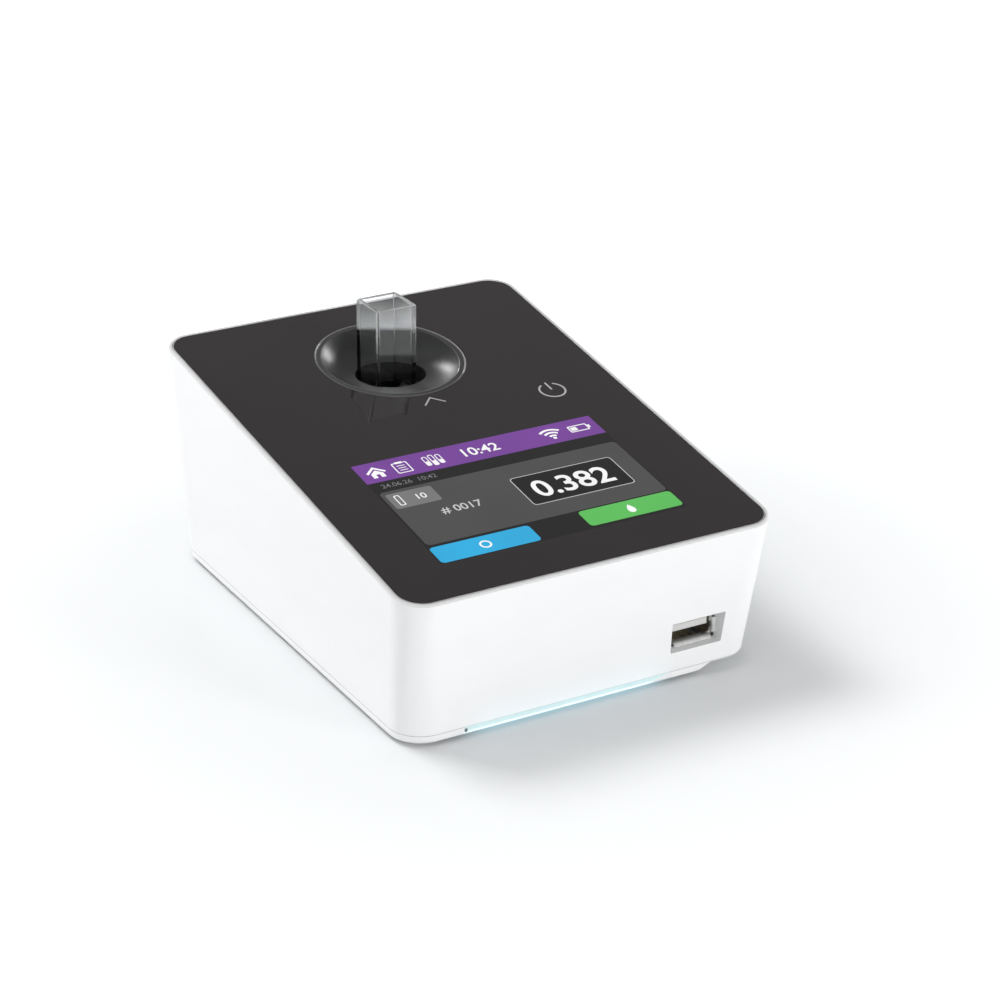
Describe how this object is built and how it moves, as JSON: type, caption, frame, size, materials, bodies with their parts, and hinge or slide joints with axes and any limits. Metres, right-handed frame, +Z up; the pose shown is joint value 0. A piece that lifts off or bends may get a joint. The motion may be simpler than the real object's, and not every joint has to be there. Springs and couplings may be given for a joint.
{
  "type": "cell density meter",
  "caption": "Wedge-shaped bench meter: white moulded housing, dark glass top with touch screen, round sample bowl with a clear square cuvette, USB socket and light strip.",
  "frame": {"origin": "on the table under the middle of the instrument (feet at z = 0)", "axes": "+Z up, -Y towards the user (front with the USB socket), +X to the right of someone reading the screen"},
  "size_m": [0.1116, 0.1471, 0.0772],
  "materials": {
    "housing_white": "satin moulded",
    "panel_glass": "polished dark glass sheet, printed behind",
    "bowl_black": "semi-gloss moulded",
    "cuvette_clear": "clear",
    "holder_black": "matte",
    "foot_rubber": "matte",
    "screw_steel": "plated",
    "spring_steel": "rolled",
    "frame_steel": "zinc plated sheet",
    "shield_steel": "tinned can",
    "usb_steel": "nickel plated",
    "tongue_white": "moulded",
    "contact_gold": "gold plated",
    "adhesive_sheet": "foam adhesive",
    "led_clear": "clear epoxy",
    "detector_can": "metal can",
    "board_green": "solder mask",
    "chip_black": "moulded",
    "connector_cream": "moulded",
    "touch_film": "clear film",
    "display_black": "glass and metal module",
    "strip_light": "frosted light guide, lit pale cyan",
    "battery_wrap": "shrink wrap",
    "ribbon_film": "polyimide film"
  },
  "bodies": {
    "root": {"upper_housing": "housing_white", "base_tray": "housing_white", "foot_front_left": "foot_rubber", "foot_front_right": "foot_rubber", "foot_back_left": "foot_rubber", "foot_back_right": "foot_rubber", "base_screws": "screw_steel", "front_panel": "panel_glass", "panel_gasket": "adhesive_sheet", "sample_bowl": "bowl_black", "cuvette": "cuvette_clear", "cell_holder": "holder_black", "side_spring": "spring_steel", "front_spring": "spring_steel", "source_led": "led_clear", "source_lens": "led_clear", "source_board": "board_green", "detector": "detector_can", "detector_board": "board_green", "optics_screws": "screw_steel", "holder_screws": "screw_steel", "touch_sensor": "touch_film", "display_module": "display_black", "display_frame": "frame_steel", "display_screws": "screw_steel", "power_key_sensor": "board_green", "main_board": "board_green", "processor": "chip_black", "radio_module": "shield_steel", "ribbon_connector": "connector_cream", "buzzer": "chip_black", "board_screws": "screw_steel", "usb_shell": "usb_steel", "usb_tongue": "tongue_white", "usb_contacts": "contact_gold", "light_strip": "strip_light", "strip_led_board": "board_green", "battery_pack": "battery_wrap", "battery_bracket": "frame_steel", "bracket_screws": "screw_steel", "power_board": "board_green", "inlet_jack": "chip_black", "inlet_pin": "contact_gold", "display_ribbon": "ribbon_film"}
  },
  "joints": []
}
